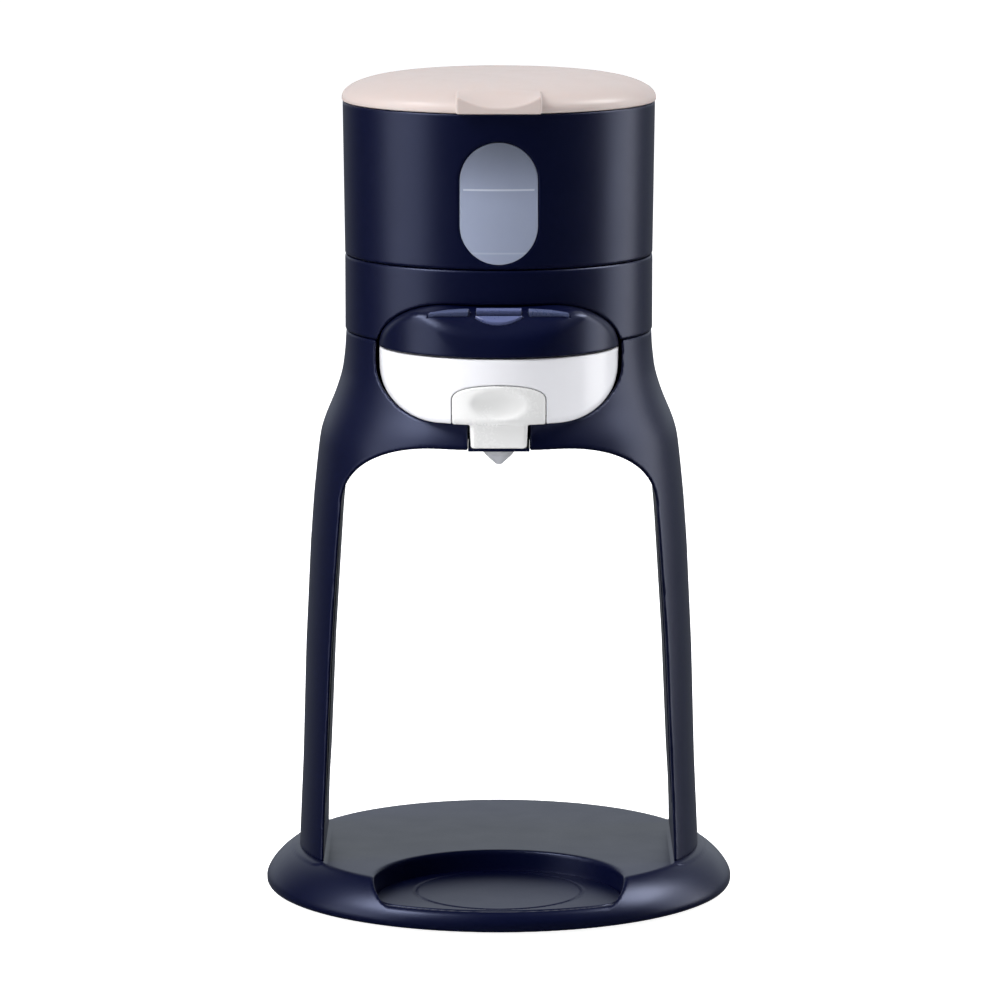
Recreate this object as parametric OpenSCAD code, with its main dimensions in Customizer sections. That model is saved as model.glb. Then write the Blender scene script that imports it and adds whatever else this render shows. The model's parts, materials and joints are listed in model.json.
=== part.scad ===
// Baby formula dispenser: round base, two-leg arch stand, round head with a
// control hood and a mixing drawer, and a lift-off water tank with a lid.
// Origin: centre of the base on the table. +Z up, front of the machine to -Y.

/* [Base] */
// Radius of the round base
base_r = 95; // [94:0.5:97]
// Height of the flat top of the base
base_h = 18; // [17.6:0.1:18.4]
// Radius of the flat part of the base's top
base_flat_r = 82; // [81.8:0.1:83]
// Radius of the round end of the bottle recess
recess_r = 49.6; // [49:0.2:50]
// Distance of the recess centre in front of the base centre
recess_y = 66.3; // [66:0.1:66.6]
// Height of the top face of the bottle rest
rest_z = 10; // [9.8:0.1:10.2]

/* [Stand] */
// Height of the top edge of the front and back arch
arch_z = 190.7; // [190:0.1:191.4]
// Height of the joint line between stand and head
stand_z = 230.2; // [230:0.1:230.4]
// Wall thickness of the stand's shell
stand_wall = 3; // [2.4:0.1:3.2]
// Depth of the leg's hollow behind its cover
leg_hollow = 3.6; // [3:0.1:3.8]

/* [Head] */
// Outer radius of the head band
head_r = 62; // [61.8:0.1:62.2]
// Top of the head band
head_z = 260.9; // [260.6:0.1:261.1]
// Half width of the opening for hood and drawer
mouth_w = 49.2; // [49:0.1:49.5]
// Slope of the control panel in degrees
panel_tilt = 33; // [31:0.5:34]

/* [Drawer] */
// Radius of the drawer bowl
bowl_r = 48; // [47.5:0.1:48.1]
// Distance of the bowl axis in front of the machine's axis
bowl_y = 27.7; // [27.5:0.1:28]
// Wall thickness of the bowl at its rim
bowl_wall = 3; // [2.6:0.1:3.2]
// Distance of the nozzle in front of the machine's axis
nozzle_y = 50; // [49.5:0.1:50.5]

/* [Tank] */
// Outer radius of the tank at its foot
tank_r1 = 62; // [61.8:0.1:62.2]
// Outer radius of the tank at its top
tank_r2 = 62.8; // [62.6:0.1:63]
// Top of the tank's outer shell
tank_z = 322.6; // [322:0.1:323]
// Width of the level window
window_w = 31; // [30:0.1:32]
// Height of the level window
window_h = 48.4; // [47.5:0.1:49]
// Radius of the lid
lid_r = 63.2; // [63:0.1:63.4]
// Height of the lid's highest point
lid_z = 334; // [333.4:0.1:334.6]
// Distance of the lid hinge behind the machine's axis
hinge_y = 66.5; // [66.3:0.1:66.8]
// Radius of the hinge pin
pin_r = 1.5; // [1.4:0.05:1.5]

/* [Hidden] */
$fn = 96;

navy = [0.09, 0.105, 0.19];
blush = [0.87, 0.81, 0.79];
white = [0.93, 0.93, 0.94];
smoke = [0.42, 0.45, 0.56];
frost = [0.75, 0.76, 0.79];
steel = [0.72, 0.73, 0.75];
black = [0.06, 0.06, 0.07];
board = [0.10, 0.32, 0.20];

eps = 0.01;                     // overlap that keeps joints and cuts clean
belly_z = arch_z + 2.8;         // top of the stand's belly plate
valve_y = 25;                   // tank valve behind the machine's axis

// ---------------------------------------------------------------- helpers
function ellipse_pt(cx, cy, rx, ry, angle) = [cx + rx * cos(angle), cy + ry * sin(angle)];
// point on the first quadrant of a superellipse
function super_pt(cx, cy, rx, ry, angle, power) =
  [cx + rx * pow(max(0, cos(angle)), 2 / power), cy + ry * pow(max(0, sin(angle)), 2 / power)];
// right half of an outline, followed back by its mirror image
function with_mirror(pts) =
  concat(pts, [for (i = [len(pts) - 1 : -1 : 0]) [-pts[i][0], pts[i][1]]]);

module raise(z) { translate([0, 0, z]) children(); }
// children as drawn on side 1, mirrored on side -1
module on_side(side) { mirror([side < 0 ? 1 : 0, 0, 0]) children(); }
// children at each point and at its mirror image across x = 0
module at_pairs(points) {
  for (s = [-1, 1]) for (p = points) translate([s * p[0], p[1], 0]) children();
}
// XZ outline extruded from y0 to y1
module extrude_y(y0, y1) {
  translate([0, y1, 0]) rotate([90, 0, 0]) linear_extrude(y1 - y0) children();
}
// box centred on x = 0
module mid_cube(y, z, size) { translate([-size[0] / 2, y, z]) cube(size); }
module x_cylinder(radius, length, facets = 32) {
  rotate([0, 90, 0]) cylinder(r = radius, h = length, $fn = facets);
}
module tube(inner_r, outer_r, bottom, top) {
  raise(bottom) difference() {
    cylinder(r = outer_r, h = top - bottom);
    raise(-eps) cylinder(r = inner_r, h = top - bottom + 2 * eps);
  }
}
module rod(from, to, radius, facets = 32) {
  run = to - from;
  length = norm(run);
  translate(from) rotate([0, acos(run[2] / length), atan2(run[1], run[0])])
    cylinder(r = radius, h = length, $fn = facets);
}
module pipe(from, to, outer_r, inner_r) {
  unit = (to - from) / norm(to - from);
  difference() {
    rod(from, to, outer_r);
    rod(from - unit, to + unit, inner_r);
  }
}
// upright screw: cap with hex socket below seat_z, shank above
module screw(shank_r, cap_r, cap_z, seat_z, tip_z) {
  cap_h = seat_z - cap_z;
  raise(seat_z) cylinder(r = shank_r, h = tip_z - seat_z, $fn = 32);
  difference() {
    raise(cap_z) cylinder(r = cap_r, h = cap_h + eps, $fn = 32);
    raise(cap_z - eps) cylinder(r = shank_r * 0.9, h = cap_h * 0.6, $fn = 6);
  }
}

// ---------------------------------------------------------------- base
tray_low = 1.8;                 // underside of the tray's rim
cover_z = 1.6;                  // underside of the base cover
foot_r = 7;
rest_t = 1.98;
recess_corner_r = 9;
leg_bolt_xy = [[74.6, -20], [74.6, 20]];
base_screw_xy = [[62, -30], [40, 56]];
rim_pts = [for (a = [90 : -10 : 0])
  super_pt(base_flat_r, 5.5, base_r - base_flat_r, base_h - 5.5, a, 1.4)];

// Plan of the bottle recess, grown by margin: round at the back, straight sides,
// rounded front corners. front_r is its front edge's radius about the machine's axis.
module recess_2d(margin, front_r = 91) {
  corner_x = recess_r - recess_corner_r;
  corner_y = sqrt(pow(front_r - recess_corner_r, 2) - corner_x * corner_x);
  side_x = recess_r + margin;
  reach = (front_r + margin) / (front_r - recess_corner_r);
  intersection() {
    translate([0, -recess_y]) circle(r = side_x);
    translate([-60, -recess_y]) square([120, 60]);
  }
  for (s = [-1, 1]) translate([s * corner_x, -corner_y])
    circle(r = recess_corner_r + margin, $fn = 48);
  intersection() {
    circle(r = front_r + margin);
    polygon(with_mirror([[20, -110], [corner_x * reach, -corner_y * reach],
      [side_x, -corner_y], [side_x, -recess_y]]));
  }
}
module tray_solid() {
  rotate_extrude() polygon(concat([[0, tray_low], [0, base_h]], rim_pts,
    [[base_r, 4.2], [base_r - 0.9, 2.6], [base_r - 2.4, tray_low]]));
}
// space under the tray's top, less the recess wall and the screw bosses
module tray_hollow() {
  difference() {
    rotate_extrude() polygon([[0, tray_low - 1], [0, base_h - 3], [80.5, base_h - 3],
      [87.5, 10.5], [91, 5.5], [91, tray_low - 1]]);
    raise(5.6) linear_extrude(14) recess_2d(2.4);
    at_pairs(leg_bolt_xy) raise(6.5) cylinder(r = 5, h = 12, $fn = 32);
    at_pairs(base_screw_xy) raise(3.4) cylinder(r = 4, h = 14, $fn = 32);
  }
}
module base_tray() {
  color(navy) difference() {
    tray_solid();
    tray_hollow();
    raise(rest_z - 2) linear_extrude(3) recess_2d(-0.2);
    raise(rest_z) linear_extrude(10) recess_2d(0, 92.8);
    at_pairs(leg_bolt_xy) cylinder(r = 2.2, h = 30, $fn = 32);
    at_pairs(base_screw_xy) cylinder(r = 1.42, h = 9.6, $fn = 32);
  }
}
module at_feet() {
  for (a = [30 : 60 : 330]) rotate(a) translate([78, 0, 0]) children();
}
module base_cover() {
  color(navy) raise(cover_z) difference() {
    cylinder(r = 90.8, h = 1.8);
    at_feet() raise(-eps) cylinder(r = foot_r + 0.1, h = 1.04, $fn = 48);
    at_pairs(base_screw_xy) raise(-1) {
      cylinder(r = 1.7, h = 5, $fn = 32);
      cylinder(r = 3.1, h = 1.9, $fn = 32);
    }
  }
}
module rubber_feet() {
  chamfer = 0.6;
  color(black) at_feet() {
    cylinder(r1 = 6.4, r2 = foot_r, h = chamfer, $fn = 48);
    raise(chamfer) cylinder(r = foot_r, h = cover_z + 0.4, $fn = 48);
  }
}
module ballast_plate() {
  color(steel) raise(3.42) difference() {
    cylinder(r = 66, h = 1.9);
    at_pairs(base_screw_xy) raise(-1) cylinder(r = 4.6, h = 5, $fn = 32);
  }
}
module base_screws() {
  color(steel) at_pairs(base_screw_xy) screw(1.4, 2.7, cover_z + 0.2, 2.47, 9.4);
}
module leg_bolts() { color(steel) at_pairs(leg_bolt_xy) screw(2, 4, 3.9, 6.48, 33); }
module bottle_rest() {
  color(navy) raise(rest_z - rest_t) difference() {
    linear_extrude(rest_t) recess_2d(-0.6);
    // shallow drip ring under the bottle's foot
    translate([0, -54.5, 1.2]) difference() {
      cylinder(r = 34, h = 2);
      raise(-1) cylinder(r = 32.8, h = 4);
    }
  }
}

// ---------------------------------------------------------------- stand
// [height, outer half width] of legs and bell
outer_table = [
  [14, 81.6], [24, 81.3], [54, 79.9], [101, 78.5], [144, 76.4],
  [163, 75.0], [174, 73.9], [189, 72.2], [194, 71], [199, 68.5],
  [204, 66.3], [209, 64.7], [214, 63], [223, 62], [231, 61.6]];
// [height, half width] of the arch opening
inner_table = [
  [0, 71], [14, 70.8], [30, 70.5], [54, 69], [100, 67], [132, 65], [163, 63]];
function outer_x(z) = lookup(z, outer_table);
function inner_x(z) = lookup(z, inner_table);

cavity_zs = [199, 204, 209, 214, 223];
bell_zs = concat([24, 54, 101, 144, 163, 169, 174, 181, 189, 194], cavity_zs);
arch_corner_z = 162;            // height where the arch corners start
cover_y = 28;                   // half depth of the leg's hollow, front to back
cover_low = 40;                 // bottom and top of the leg's hollow
cover_high = 156;
cover_gap = 0.15;
post_xy = [[50, 5], [32, 40]];  // screw posts that join stand and head

module arch_2d() {
  polygon(with_mirror(concat([[71, -5]],
    [for (z = [14, 30, 54, 100, 132]) [inner_x(z), z]],
    [for (a = [0 : 7.5 : 90])
      super_pt(23, arch_corner_z, 40, arch_z - arch_corner_z, a, 2.2)])));
}
// strip along the inner side of a leg, between two offsets into the leg
module leg_strip(side, offset0, offset1, half_y, z0, z1) {
  zs = [z0, 54, 100, 132, z1];
  on_side(side) extrude_y(-half_y, half_y) polygon(concat(
    [for (z = zs) [inner_x(z) + offset0, z]],
    [for (i = [4 : -1 : 0]) [inner_x(zs[i]) + offset1, zs[i]]]));
}
module leg_cover(side) {
  color(navy) leg_strip(side, 0.02, 1.8, cover_y - cover_gap,
    cover_low + cover_gap, cover_high - cover_gap);
}
module leg_cover_left() { leg_cover(-1); }
module leg_cover_right() { leg_cover(1); }

// front opening shared by hood and drawer; low_x, low_z centre its lower corner arc
low_x = 24;
low_z = 221.5;
mouth_mid_z = 224;
mouth_half = concat(
  [for (a = [90 : -9 : 0]) ellipse_pt(20, 226, mouth_w - 20, 21.4, a)],
  [for (a = [0 : -9 : -90]) ellipse_pt(low_x, low_z, mouth_w - low_x, 20.6, a)]);
// opening shrunk by about inset on each side
module mouth_2d(inset = 0) {
  polygon([for (p = with_mirror(mouth_half)) [p[0] * (1 - inset / mouth_w),
    mouth_mid_z + (p[1] - mouth_mid_z) * (1 - inset / 22)]]);
}

// full round body of the stand, hollow above the belly plate
module bell() {
  difference() {
    rotate_extrude() polygon(concat([[0, base_h], [outer_x(base_h), base_h]],
      [for (z = bell_zs) [outer_x(z), z]],
      [[outer_x(stand_z), stand_z], [0, stand_z]]));
    rotate_extrude() polygon(concat(
      [[0, belly_z], [outer_x(belly_z) - stand_wall, belly_z]],
      [for (z = cavity_zs) [outer_x(z) - stand_wall, z]],
      [[outer_x(231) - stand_wall, 231], [0, 231]]));
  }
}
module stand_frame() {
  color(navy) difference() {
    union() {
      bell();
      at_pairs(post_xy) raise(belly_z - 1) cylinder(r = 4, h = 228.3 - belly_z + 1, $fn = 32);
    }
    extrude_y(-100, 100) arch_2d();
    extrude_y(-100, -10) mouth_2d();
    // slot for the spout
    mid_cube(-100, 180, [24.8, 58.5, 24]);
    for (s = [-1, 1]) leg_strip(s, -1, leg_hollow, cover_y, cover_low, cover_high);
    at_pairs(leg_bolt_xy) cylinder(r = 2.02, h = 34, $fn = 32);
    at_pairs(post_xy) raise(170) {
      cylinder(r = 3.6, h = 26.5, $fn = 32);
      cylinder(r = 1.8, h = 60, $fn = 32);
    }
    // power inlet: body and flange
    mid_cube(48, 201.8, [28.4, 30, 20.4]);
    mid_cube(63.8, 199.3, [33.4, 20, 25.4]);
  }
}

rail_x = 15.6;                  // inner side of the drawer's runner
module drawer_rails() {
  color(smoke) for (s = [-1, 1]) on_side(s) raise(belly_z) difference() {
    translate([rail_x - 2.4, -60, 0]) cube([8.2, 82, 7]);
    translate([rail_x - 0.2, -57, -eps]) cube([3.8, 90, 10]);
  }
}

// ---------------------------------------------------------------- head shell
deck_z = 257;                   // underside of the head's deck
head_post_z = 228.4;
plate_r = 56.6;                 // inner radius of the head's lower rings

module at_valve(z = 0) { translate([0, valve_y, z]) children(); }
module head_housing() {
  color(navy) difference() {
    union() {
      tube(head_r - 2.6, head_r, stand_z, head_z);
      tube(plate_r, head_r - 2, stand_z, 232);
      tube(plate_r, 58.5, 226.5, stand_z + 1);
      raise(deck_z) cylinder(r = head_r - 2, h = 2.5);
      at_pairs(post_xy) raise(head_post_z) cylinder(r = 4, h = deck_z - head_post_z + 1, $fn = 32);
      at_pairs([[43.3, -14]]) raise(232) cylinder(r = 3, h = deck_z - 231, $fn = 32);
    }
    extrude_y(-100, -20) mouth_2d();
    at_valve(200) cylinder(r = 11.3, h = 70);
    at_pairs(post_xy) raise(228) cylinder(r = 1.62, h = 11, $fn = 32);
  }
}
module head_screws() { color(steel) at_pairs(post_xy) screw(1.6, 3.2, 193.4, 196.47, 238); }
module splash_plate() {
  color(smoke) raise(230) difference() {
    translate([0, -bowl_y, 0]) cylinder(r = 45.8, h = 2);
    at_spray(-1) cylinder(r = 5.3, h = 5, $fn = 48);
    rotate_extrude() polygon([[56.5, -1], [80, -1], [80, 0.01], [56.5, 0.01]]);
  }
}

// ---------------------------------------------------------------- controls
side_key_x = 19.7;
board_top = -5.38;              // seat of the parts on the control board, below the panel

// frame of the control panel: x across, y up the slope, z out of its face
module on_panel() { translate([0, -head_r, 246.8]) rotate([panel_tilt, 0, 0]) children(); }
module panel_plate(z, height) { on_panel() raise(z) linear_extrude(height) children(); }
// everything below the plane z = -inset of the current frame
module below_plane(inset) { translate([-60, -60, -60]) cube([120, 120, 60 - inset]); }
// hood: upright round front, flat sloping panel and a second, steeper face
// that eases the edge between them
module hood_solid(inset) {
  intersection() {
    translate([0, -bowl_y, 220]) cylinder(r = 49.3 - inset, h = 40);
    on_panel() below_plane(inset);
    translate([0, -73.3, 239.2]) rotate([64, 0, 0]) below_plane(inset);
    extrude_y(-100, -36) mouth_2d(0.3 + inset);
  }
}
module side_key_2d(side, gap = 0) {
  mirror([side > 0 ? 1 : 0, 0]) polygon([
    [-27.8 - gap, -5.6 - gap], [-12.2 + gap, -5.6 - gap],
    [-11.6 + gap, -3.4 + gap], [-26.6 - gap, -3.4 + gap]]);
}
module display_2d(gap = 0) {
  polygon([[-8.6 - gap, -4.8 - gap], [8.6 + gap, -4.8 - gap],
    [8.8 + gap, -3.0 + gap], [-8.8 - gap, -3.0 + gap]]);
}
module start_key_2d(gap = 0) {
  intersection() {
    translate([0, 1.9]) circle(r = 12.6 + gap);
    translate([-14, -14]) square([28, 7.4 + gap]);
  }
}
module control_hood() {
  gap = 0.15;
  color(navy) difference() {
    intersection() {
      difference() {
        hood_solid(0);
        hood_solid(2.4);
      }
      mid_cube(-100, 228.2, [120, 62, 40]);
    }
    for (s = [-1, 1]) panel_plate(-8, 20) side_key_2d(s, gap);
    panel_plate(-8, 20) display_2d(gap);
    panel_plate(-8, 20) start_key_2d(gap);
  }
}
module start_button() {
  color(smoke) {
    panel_plate(-2, 3) start_key_2d();
    on_panel() mid_cube(-10.4, -2.2, [6, 3, 1]);
  }
}
module side_button(side) {
  color(smoke) {
    panel_plate(-2, 4) side_key_2d(side);
    on_panel() translate([side * side_key_x, 0, 0]) mid_cube(-5.4, -2.2, [6, 1.8, 1]);
  }
}
module left_button() { side_button(-1); }
module right_button() { side_button(1); }
module display_window() { color(smoke) panel_plate(-2.1, 4.1) display_2d(); }
module display_module() { color(black) on_panel() mid_cube(-5.4, board_top, [17.2, 4.4, 2.92]); }
module control_board() {
  color(board) panel_plate(-7, 1.6)
    polygon(with_mirror([[19, -12], [25.5, -4], [25.5, 3]]));
}
module tact_switches() {
  color(black) on_panel()
    for (p = [[-side_key_x, -4.5], [side_key_x, -4.5], [0, -9]])
      translate([p[0], p[1], board_top]) {
        mid_cube(-3, 0, [6, 6, 1.8]);
        cylinder(r = 1.6, h = 2.5, $fn = 24);
      }
}

// ---------------------------------------------------------------- water path
hose_z = 243;                   // height of pump, hoses and their spigots
pump_x = 26;
heater_port_y = 30;             // heater spigot in front of the machine's axis
spray_y = 44;                   // spray head in front of the machine's axis
spray_z = 237;                  // height of the spray hose
sensor_y = -23;
sensor_z = 239;
hose_r = 4;
hose_bore_r = 2.45;
spigot_r = 2.4;
spigot_bore_r = 1.5;
bend_r = 6;                     // centre line radius of the hose bends
bend_x = pump_x - bend_r;       // centre of both hose bends
inlet_bend_y = valve_y - bend_r;
outlet_bend_y = bend_r - heater_port_y;

module at_spray(z = 0) { translate([0, -spray_y, z]) children(); }
module spray_head() {
  color(white) difference() {
    union() {
      at_spray(228.35) cylinder(r = 12, h = 1.6);
      at_spray(229) cylinder(r = 5, h = 11, $fn = 48);
    }
    at_spray() for (a = [0 : 45 : 315]) rotate(a) translate([8, 0, 227])
      cylinder(r = 0.7, h = 2.2, $fn = 16);
    at_spray(spray_z) rotate([-90, 0, 0]) cylinder(r = 2, h = 8, $fn = 24);
    at_spray(227) cylinder(r = 2, h = 10, $fn = 24);
  }
}
module heater_block() {
  color(steel) difference() {
    union() {
      translate([-40, -34, 232.1]) cube([46, 22, 14.9]);
      translate([6, -heater_port_y, hose_z]) x_cylinder(spigot_r, 6);
    }
    translate([-41, sensor_y, sensor_z]) x_cylinder(3.05, 20);
    translate([0, -heater_port_y, hose_z]) x_cylinder(spigot_bore_r, 14, 24);
    translate([0, -35, spray_z]) rotate([-90, 0, 0]) cylinder(r = 2, h = 8, $fn = 24);
  }
}
module temperature_sensor() {
  color(steel) rod([-46, sensor_y, sensor_z], [-24, sensor_y, sensor_z], 3);
}
module thermal_fuse() { color(white) rod([-30, -18, 249.1], [-14, -18, 249.1], 2.08, 24); }
module pump_body() {
  color(black) translate([pump_x, 0, hose_z]) {
    rod([0, -18, 0], [0, 12, 0], 10, 64);
    rod([0, -24, 0], [0, -17.9, 0], spigot_r);
    rod([0, 11.9, 0], [0, 17, 0], spigot_r);
  }
}
module pump_mounts() {
  color(smoke) for (y = [-14, 4]) translate([pump_x, y, 0]) difference() {
    mid_cube(0, 232, [16, 5, 6]);
    translate([0, -1, hose_z]) rotate([-90, 0, 0]) cylinder(r = 10.02, h = 8, $fn = 64);
  }
}
module hose_bend() {
  rotate_extrude(angle = 90) translate([bend_r, 0]) difference() {
    circle(r = hose_r, $fn = 32);
    circle(r = hose_bore_r, $fn = 32);
  }
}
module hose(from, to) { pipe(from, to, hose_r, hose_bore_r); }
module inlet_hose() {
  color(smoke) raise(hose_z) {
    translate([bend_x, inlet_bend_y, 0]) hose_bend();
    hose([13, valve_y, 0], [bend_x + eps, valve_y, 0]);
    hose([pump_x, 13.5, 0], [pump_x, inlet_bend_y + eps, 0]);
  }
}
module outlet_hose() {
  color(smoke) raise(hose_z) {
    translate([bend_x, outlet_bend_y, 0]) rotate([0, 0, -90]) hose_bend();
    hose([pump_x, -20, 0], [pump_x, outlet_bend_y - eps, 0]);
    hose([bend_x + eps, -heater_port_y, 0], [7, -heater_port_y, 0]);
  }
}
module spray_hose() {
  color(smoke) difference() {
    pipe([0, -39.3, spray_z], [0, -34.02, spray_z], 3, 2);
    at_spray(229) cylinder(r = 5.02, h = 20, $fn = 48);
  }
}
module clip_ring(start, direction) { pipe(start, start + direction * 1.6, 5, 4.03); }
module hose_clips() {
  color(steel) {
    clip_ring([14.5, valve_y, hose_z], [1, 0, 0]);
    for (y = [14.3, -23]) clip_ring([pump_x, y, hose_z], [0, 1, 0]);
  }
}
// socket in the head's deck, with a central pin that lifts the tank valve
module tank_coupling() {
  color(smoke) at_valve() {
    difference() {
      union() {
        raise(250) cylinder(r = 11, h = 10.6);
        raise(238) cylinder(r = 7, h = 12.1);
        raise(hose_z) x_cylinder(spigot_r, 19);
      }
      raise(252) cylinder(r = 9, h = 10);
      raise(240) difference() {
        cylinder(r = 5, h = 13);
        raise(-1) cylinder(r = 1.5, h = 20, $fn = 32);
        mid_cube(-6, -1, [1.2, 12, 8]);
      }
      translate([3, 0, hose_z]) x_cylinder(spigot_bore_r, 20, 24);
    }
    raise(252.9) cylinder(r = 1.5, h = 2.3, $fn = 32);
  }
}
module coupling_seal() {
  color(black) at_valve(258.2) rotate_extrude() translate([8.3, 0]) circle(r = 0.68, $fn = 24);
}

// ---------------------------------------------------------------- power
board_z = 198;
board_part_z = 199.5;
loom_x = -26.2;

module power_board() {
  color(board) {
    mid_cube(24, board_z, [56, 22, 1.6]);
    translate([-24, 27, board_part_z]) cube([20, 16, 15]);
    translate([4, 35, board_part_z]) cylinder(r = 6, h = 18, $fn = 48);
    translate([14, 28, board_part_z]) cube([10, 12, 12]);
    // standoffs
    for (x = [-26, 24]) for (y = [26, 42]) translate([x, y, belly_z])
      cylinder(r = 1.8, h = 4.6, $fn = 24);
  }
}
module power_inlet() {
  color(black) difference() {
    union() {
      mid_cube(50, 202, [28, 15.4, 20]);
      mid_cube(63.9, 199.5, [33, 1.8, 25]);
    }
    mid_cube(52, 204.5, [24, 20, 15]);
  }
}
module inlet_pins() {
  color(steel) for (p = [[-7, 212.5], [7, 212.5], [0, 206.5]])
    translate([p[0], 0, 0]) mid_cube(47.5, p[1], [2, 15, 4]);
}
module wiring_harness() {
  color(black) {
    rod([loom_x, 21, 200.2], [loom_x, 21, 241.8], 1.8);
    rod([loom_x, 22.8, 240], [loom_x, -11.9, 240], 1.8);
    rod([loom_x, 19.2, 202], [loom_x, 23.9, 202], 1.8);
  }
}

// ---------------------------------------------------------------- tank
tank_foot_z = head_z + 0.4;
tank_wall = 2.2;
window_z = 287.4;               // centre height of the level window
hinge_z = 321;

module window_2d(gap = 0) {
  width = window_w - gap;
  straight = window_h - window_w;
  translate([0, window_z]) {
    for (s = [-1, 1]) translate([0, s * straight / 2]) circle(r = width / 2);
    square([width, straight], center = true);
  }
}
// pair of hinge barrels, each with an arm reaching forward to arm_y
module hinge_knuckles(centre_x, width, arm_y, arm_z, arm_h) {
  for (s = [-1, 1]) translate([s * centre_x - width / 2, 0, 0]) {
    translate([0, hinge_y, hinge_z]) x_cylinder(3, width, 48);
    translate([0, arm_y, arm_z]) cube([width, hinge_y - arm_y, arm_h]);
  }
}
module hinge_axle(radius, length) {
  translate([-length / 2, hinge_y, hinge_z]) x_cylinder(radius, length);
}
module tank_shell() {
  color(navy) difference() {
    union() {
      raise(tank_foot_z) cylinder(r1 = tank_r1, r2 = tank_r2, h = tank_z - tank_foot_z);
      hinge_knuckles(14.2, 3.8, 60, hinge_z - 3, 3);
    }
    raise(head_z)
      cylinder(r1 = tank_r1 - tank_wall, r2 = tank_r2 - tank_wall, h = tank_z - head_z + eps);
    extrude_y(-80, -40) window_2d();
    hinge_axle(pin_r + 0.02, 60);
  }
}
module tank_vessel() {
  spider_z = 259.5;             // cross with hub that guides the valve stem
  spider_h = 1.5;
  color(smoke, 0.6) difference() {
    union() {
      raise(261.4) cylinder(r = 59.4, h = 59.2);
      intersection() {
        extrude_y(-70, -50) window_2d(0.3);
        raise(255) cylinder(r = 62.25, h = 70);
      }
      at_valve(257.6) cylinder(r = 7.5, h = 5, $fn = 64);
    }
    raise(264) cylinder(r = 57.8, h = 70);
    at_valve(261) cylinder(r = 5.5, h = 10, $fn = 48);
    difference() {
      at_valve(250) cylinder(r = 5.5, h = 13, $fn = 48);
      mid_cube(valve_y - 1, spider_z, [12, 2, spider_h]);
      mid_cube(valve_y - 6, spider_z, [2, 12, spider_h]);
      at_valve(spider_z) cylinder(r = 3.6, h = spider_h, $fn = 32);
    }
    at_valve(250) cylinder(r = 2.06, h = 20, $fn = 32);
  }
}
module valve_poppet() {
  color(white) {
    at_valve(255.3) cylinder(r = 2, h = 13, $fn = 32);
    at_valve(255.3) cylinder(r = 4, h = 1, $fn = 32);
    at_valve(267.9) cylinder(r = 7, h = 1.5, $fn = 48);
  }
}
// helical spring, swept as rings of points with a flat cap at each end
module coil(radius, wire_r, z0, z1, turns, segments = 96, sides = 8) {
  pts = [for (k = [0 : segments]) for (j = [0 : sides - 1])
    let (turn = 360 * turns * k / segments,
      around = 360 * j / sides,
      z = z0 + wire_r + (z1 - z0 - 2 * wire_r) * k / segments,
      reach = radius + wire_r * cos(around))
    [reach * cos(turn), reach * sin(turn), z + wire_r * sin(around)]];
  walls = [for (k = [0 : segments - 1]) for (j = [0 : sides - 1])
    let (next = (j + 1) % sides)
    [k * sides + j, (k + 1) * sides + j, (k + 1) * sides + next, k * sides + next]];
  caps = [[for (j = [0 : sides - 1]) j],
    [for (j = [sides - 1 : -1 : 0]) segments * sides + j]];
  polyhedron(points = pts, faces = concat(walls, caps), convexity = 6);
}
module valve_spring() {
  color(steel) at_valve()
    coil(radius = 3.1, wire_r = 0.3, z0 = 256.35, z1 = 259.45, turns = 3);
}
module valve_seal() { color(black) at_valve() tube(5.7, 7.2, 267.1, 267.88); }

// ---------------------------------------------------------------- lid
lid_edge_z = 324.6;             // where the lid's dome starts
lid_under_z = 322.9;            // underside of the front tab and hinge arms
dome_pts = [for (a = [0 : 10 : 90])
  [lid_r * pow(max(0, cos(a)), 0.55), lid_edge_z + (lid_z - lid_edge_z) * pow(sin(a), 0.75)]];

module lid_skirt(top) { tube(54.6, 57.2, 316, top); }
module lid_tab(depth) { mid_cube(-65.6, lid_under_z, [33.4, depth, 5.6]); }
module lid() {
  color(blush) difference() {
    union() {
      rotate_extrude() polygon(concat(
        [[0, 322.85], [lid_r - 0.5, 322.85], [lid_r, 323.4]], dome_pts));
      lid_tab(12);
      lid_skirt(324);
      hinge_knuckles(10, 4, 58, lid_under_z, 1.1);
    }
    difference() {
      rotate_extrude() polygon([[0, 320], [0, lid_z - 2.2], [30, lid_z - 2.7],
        [50, lid_z - 4.4], [57, 327.6], [60.4, 325.4], [60.8, 320]]);
      lid_skirt(330);
      lid_tab(8);
    }
    tube(58, 63.05, 300, 322.8);
    // scoop across the top of the front edge
    translate([-14.7, -66.5, 333.6]) x_cylinder(8.4, 29.4, 64);
    // gasket groove
    tube(56.2, 58, 318, 319.6);
    hinge_axle(pin_r + 0.06, 60);
  }
}
module lid_gasket() { color(white) tube(56.25, 57.6, 318.1, 319.5); }
module lid_hinge_pin() { color(steel) hinge_axle(pin_r, 32.2); }

// ---------------------------------------------------------------- drawer
collar_r = 5.4;                 // outlet collar under the bowl
spout_w = 23.2;
spout_y = -72.6;                // front face of spout and nozzle plate

module at_nozzle(z = 0) { translate([0, -nozzle_y, z]) children(); }
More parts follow.
